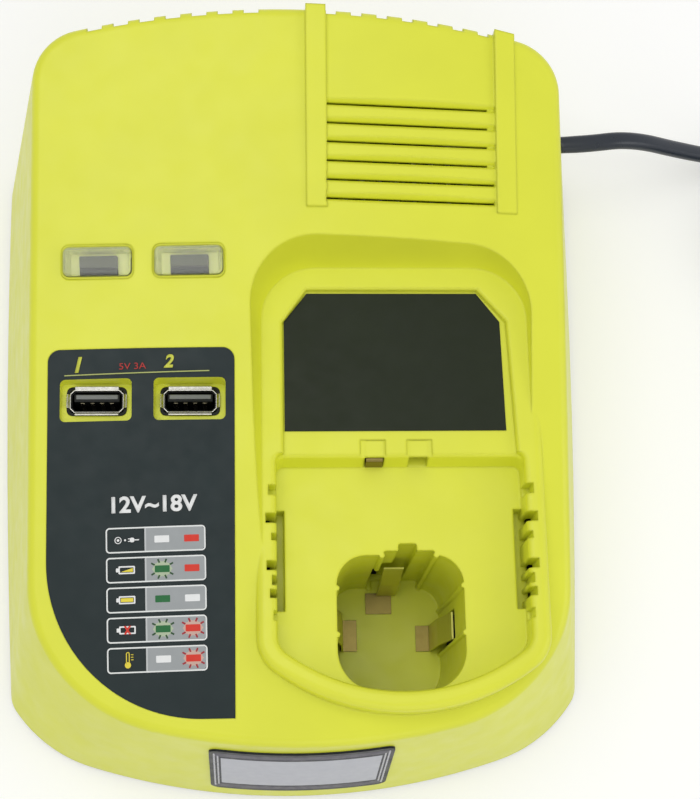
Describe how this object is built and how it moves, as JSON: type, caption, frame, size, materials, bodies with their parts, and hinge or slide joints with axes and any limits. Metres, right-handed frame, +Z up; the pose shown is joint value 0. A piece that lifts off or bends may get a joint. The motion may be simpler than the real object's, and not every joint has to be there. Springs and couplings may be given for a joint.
{
  "type": "power tool battery charger",
  "caption": "Mains charger for stem-type power tool batteries: sloping housing with battery bay, stem well, sprung contacts, USB sockets, status lamps and a mains cord.",
  "frame": {"origin": "on the floor, below the middle of the housing", "axes": "+Z up, +Y towards the back of the housing, +X to its right-hand side seen from the front, where the cord leaves"},
  "size_m": [0.2872, 0.1956, 0.0836],
  "materials": {
    "housing_green": "moulded, fine satin",
    "base_plastic": "moulded, matt",
    "foot_rubber": "matt",
    "screw_steel": "zinc plated",
    "label_film": "printed film",
    "rating_film": "printed film",
    "badge_grey": "printed, glossy",
    "lens_clear": "clear, smoked",
    "led_body": "clear cast",
    "board_green": "solder mask",
    "socket_steel": "nickel plated",
    "socket_black": "moulded",
    "contact_brass": "gold flashed",
    "contact_steel": "tin plated",
    "ferrite": "matt",
    "tape_yellow": "tape",
    "capacitor_sleeve": "shrink sleeve",
    "sink_aluminium": "extruded",
    "chip_black": "moulded",
    "choke_green": "lacquered",
    "fuse_glass": "clear",
    "film_yellow": "cast",
    "cord_black": "matt",
    "tie_black": "satin",
    "blade_brass": "nickel over brass"
  },
  "bodies": {
    "charger": {"upper_housing": "housing_green", "lower_housing": "base_plastic", "battery_well": "housing_green", "rubber_feet": "foot_rubber", "housing_screws": "screw_steel", "board_screws": "screw_steel", "clamp_screw": "screw_steel", "control_label": "label_film", "rating_label": "rating_film", "front_badge": "badge_grey", "left_led_lens": "lens_clear", "right_led_lens": "lens_clear", "left_led": "led_body", "right_led": "led_body", "led_board": "board_green", "usb_board": "board_green", "main_board": "board_green", "left_usb_shell": "socket_steel", "right_usb_shell": "socket_steel", "left_usb_tongue": "socket_black", "right_usb_tongue": "socket_black", "left_usb_contacts": "contact_brass", "right_usb_contacts": "contact_brass", "rear_terminal": "contact_steel", "left_terminal": "contact_steel", "right_terminal": "contact_steel", "ledge_contact": "contact_steel", "transformer_core": "ferrite", "transformer_winding": "tape_yellow", "input_capacitor": "capacitor_sleeve", "output_capacitors": "capacitor_sleeve", "heat_sink": "sink_aluminium", "power_transistor": "chip_black", "bridge_rectifier": "chip_black", "line_choke": "choke_green", "fuse": "fuse_glass", "film_capacitor": "film_yellow", "strain_relief": "cord_black", "cord_clamp": "base_plastic", "mains_cord": "cord_black", "cord_coil": "cord_black", "cord_tie": "tie_black", "plug_lead": "cord_black", "plug_body": "cord_black", "plug_blades": "blade_brass"},
    "rear_leaf": {"rear_contact_leaf": "contact_steel"},
    "left_leaf": {"left_contact_leaf": "contact_steel"},
    "right_leaf": {"right_contact_leaf": "contact_steel"}
  },
  "joints": [
    {"name": "rear_leaf_flex", "type": "hinge", "parent": "charger", "child": "rear_leaf", "pos_m": [0.02485, -0.0445, 0.0064], "axis": [-1, 0, 0], "range_deg": [0, 3], "stiffness_Nm_per_rad": 1.2},
    {"name": "left_leaf_flex", "type": "hinge", "parent": "charger", "child": "left_leaf", "pos_m": [0.0126, -0.05555, 0.0064], "axis": [0, -1, 0], "range_deg": [0, 3], "stiffness_Nm_per_rad": 1.2},
    {"name": "right_leaf_flex", "type": "hinge", "parent": "charger", "child": "right_leaf", "pos_m": [0.0366, -0.0565, 0.0064], "axis": [0, 1, 0], "range_deg": [0, 3], "stiffness_Nm_per_rad": 1.2}
  ]
}
